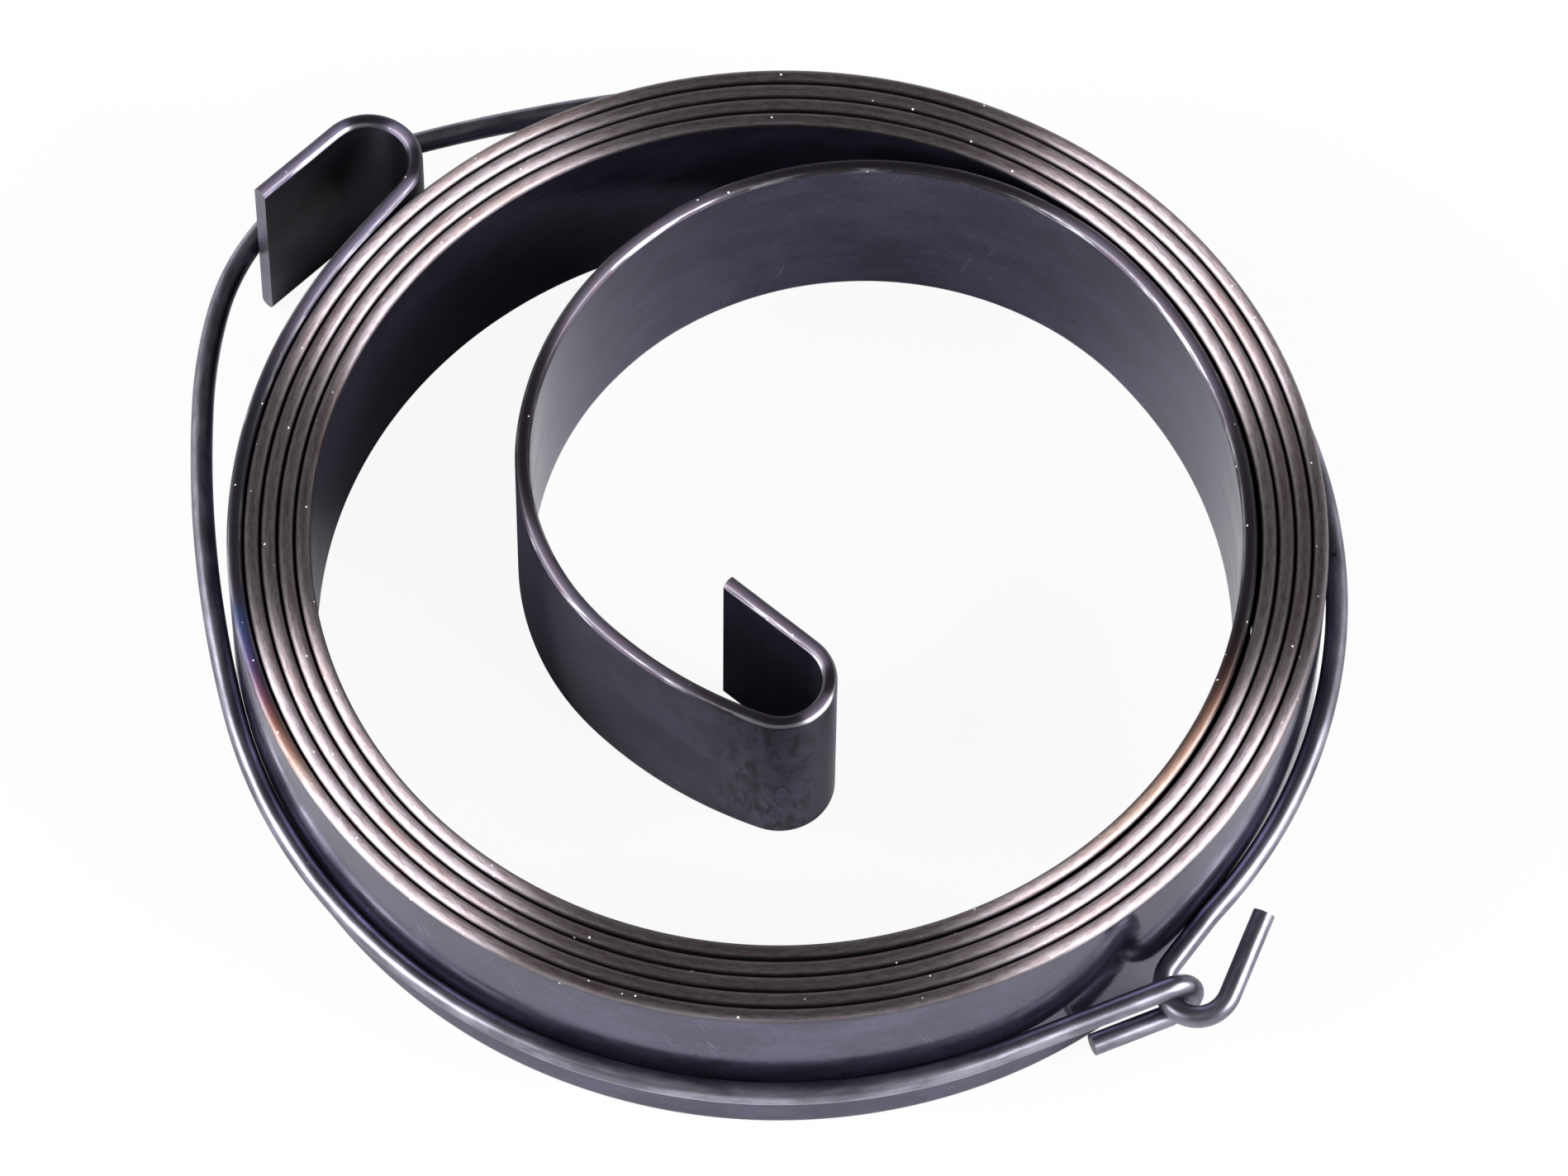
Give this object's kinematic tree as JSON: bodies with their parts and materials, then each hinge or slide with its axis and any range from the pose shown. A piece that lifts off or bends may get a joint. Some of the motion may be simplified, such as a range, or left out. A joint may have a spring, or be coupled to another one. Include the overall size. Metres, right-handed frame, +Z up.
{
  "type": "recoil starter spring",
  "caption": "Flat spiral spring of dark steel strip with a free inner loop and a folded hook at each end, tied closed by a hooked wire ring, for a pull-cord engine starter.",
  "frame": {"origin": "on the coil axis, at the foot of the coil where the strip's edge rests", "axes": "+Z up along the coil axis; the outer hook is at -X +Y; -Y is the front, with the wire's closure at its right"},
  "size_m": [0.0626, 0.0625, 0.012],
  "materials": {
    "strip_steel": "satin, dark tempered",
    "wire_steel": "drawn, semi-gloss"
  },
  "bodies": {
    "root": {"spring_strip": "strip_steel", "retaining_wire": "wire_steel"}
  },
  "joints": []
}
